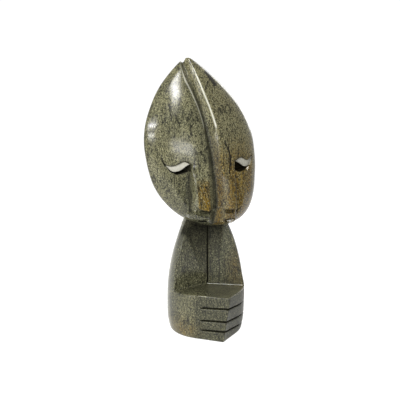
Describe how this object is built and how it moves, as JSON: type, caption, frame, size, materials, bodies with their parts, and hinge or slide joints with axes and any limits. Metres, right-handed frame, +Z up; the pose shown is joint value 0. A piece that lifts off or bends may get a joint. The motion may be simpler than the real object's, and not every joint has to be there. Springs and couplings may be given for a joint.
{
  "type": "serpentine head sculpture",
  "caption": "Leaf-shaped stone head with downcast eyes on a short tapering body with a folded hand, carved from one block and polished.",
  "frame": {"origin": "centre of the body's round foot, on the surface the sculpture stands on", "axes": "+Z up through the body, -Y out of the face, +X to the viewer's right when the face is looked at"},
  "size_m": [0.1882, 0.1423, 0.45],
  "materials": {
    "polished_serpentine": "polished olive-green serpentine with fine dark speckle, rough pale eyelids"
  },
  "bodies": {
    "root": {"head_and_body": "polished_serpentine"}
  },
  "joints": []
}
